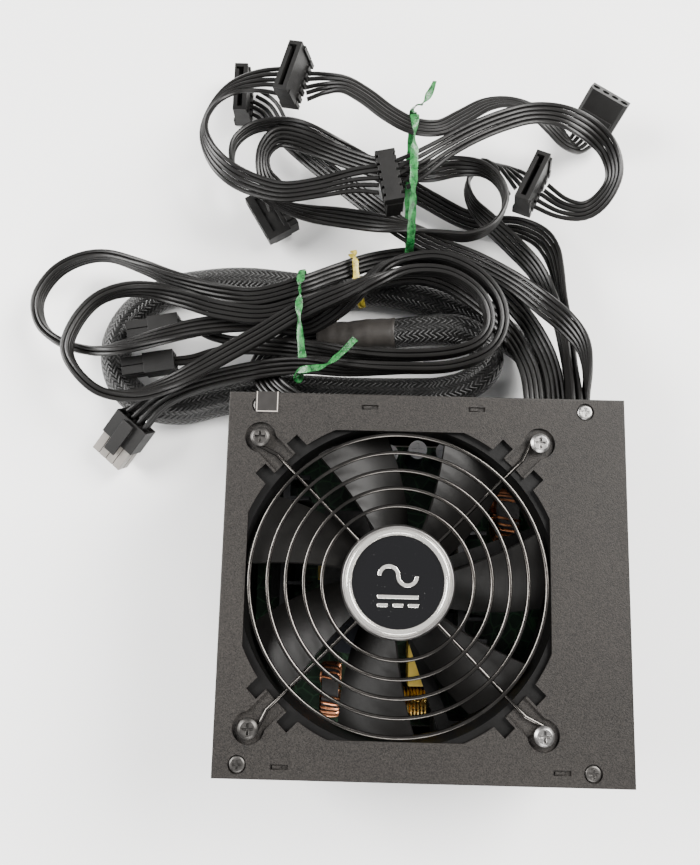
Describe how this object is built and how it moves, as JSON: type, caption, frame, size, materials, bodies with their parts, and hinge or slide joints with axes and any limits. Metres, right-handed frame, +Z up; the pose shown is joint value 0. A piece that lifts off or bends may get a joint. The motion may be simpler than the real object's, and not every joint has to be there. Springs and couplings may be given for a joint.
{
  "type": "computer power supply unit",
  "caption": "Black ATX desktop computer power supply with a 120 mm fan, wire finger guard and bundled output cables.",
  "frame": {"origin": "centre of the underside of the casing's base", "axes": "+Z up to the fan side, +Y the side the output cables leave, -Y the mains inlet side"},
  "size_m": [0.2839, 0.3253, 0.0897],
  "materials": {
    "casing_black": "fine-textured powder coat",
    "cover_screw_steel": "satin",
    "fan_screw_steel": "satin",
    "seal_grey": "satin film",
    "fan_frame_black": "moulded satin",
    "fan_blade_black": "moulded semi-gloss",
    "magnet_ferrite": "matt",
    "bearing_bronze": "sintered",
    "winding_copper": "enamelled wire",
    "fan_board_green": "solder mask",
    "guard_steel": "bright zinc",
    "bezel_grey": "satin",
    "badge_chrome": "polished",
    "badge_black": "high gloss",
    "socket_black": "moulded",
    "pin_steel": "plated",
    "rocker_black": "moulded",
    "grommet_black": "matt",
    "film_clear": "film",
    "board_green": "solder mask",
    "heatsink_black": "anodised",
    "package_black": "moulded",
    "ferrite_dark": "matt",
    "tape_yellow": "tape",
    "capacitor_sleeve": "sleeved can",
    "capacitor_silver": "bare can",
    "choke_gold": "enamelled wire",
    "cable_black": "braided sleeve",
    "shrink_black": "smooth",
    "wire_black": "smooth vinyl",
    "plug_black": "moulded nylon",
    "tie_green": "coated wire",
    "tie_olive": "coated wire"
  },
  "bodies": {
    "casing": {"base_shell": "casing_black", "fan_cover": "casing_black", "cover_screws": "cover_screw_steel", "seal_label": "seal_grey", "fan_frame": "fan_frame_black", "fan_bearing": "bearing_bronze", "fan_stator": "winding_copper", "fan_board": "fan_board_green", "fan_screws": "fan_screw_steel", "fan_guard": "guard_steel", "badge_bezel": "bezel_grey", "badge_ring": "badge_chrome", "badge_disc": "badge_black", "badge_motif": "badge_chrome", "inlet_housing": "socket_black", "inlet_pins": "pin_steel", "switch_frame": "socket_black", "cable_grommet": "grommet_black", "insulating_sheet": "film_clear", "circuit_board": "board_green", "board_screws": "fan_screw_steel", "heatsink_primary": "heatsink_black", "heatsink_secondary": "heatsink_black", "power_transistors": "package_black", "transformer_core": "ferrite_dark", "transformer_coil": "tape_yellow", "bulk_capacitor": "capacitor_sleeve", "output_capacitors": "capacitor_silver", "output_toroid": "ferrite_dark", "output_winding": "winding_copper", "filter_core": "ferrite_dark", "filter_winding": "winding_copper", "filter_capacitors": "tape_yellow", "gold_choke": "choke_gold", "fan_lead": "wire_black", "main_cable": "cable_black", "main_heatshrink": "shrink_black", "main_wires": "wire_black", "main_connector": "plug_black", "processor_cable": "wire_black", "processor_leads": "wire_black", "processor_connectors": "plug_black", "graphics_cable": "wire_black", "graphics_connector": "plug_black", "drive_ribbon_1": "wire_black", "drive_ribbon_2": "wire_black", "drive_ribbon_3": "wire_black", "drive_ribbon_4": "wire_black", "drive_ribbon_5": "wire_black", "drive_ribbon_6": "wire_black", "drive_plugs": "plug_black", "drive_plug_caps": "plug_black", "molex_plug": "plug_black", "tie_lower": "tie_green", "tie_upper": "tie_green", "tie_yellow": "tie_olive"},
    "rotor": {"fan_rotor": "fan_blade_black", "fan_magnet": "magnet_ferrite"},
    "rocker": {"switch_rocker": "rocker_black"}
  },
  "joints": [
    {"name": "fan_spin", "type": "hinge", "parent": "casing", "child": "rotor", "pos_m": [-0.01, 0, 0.07], "axis": [0, 0, 1], "continuous": true},
    {"name": "switch_rock", "type": "hinge", "parent": "casing", "child": "rocker", "pos_m": [0.015, -0.067, 0.025], "axis": [1, 0, 0], "range_deg": [-16, 0]}
  ]
}
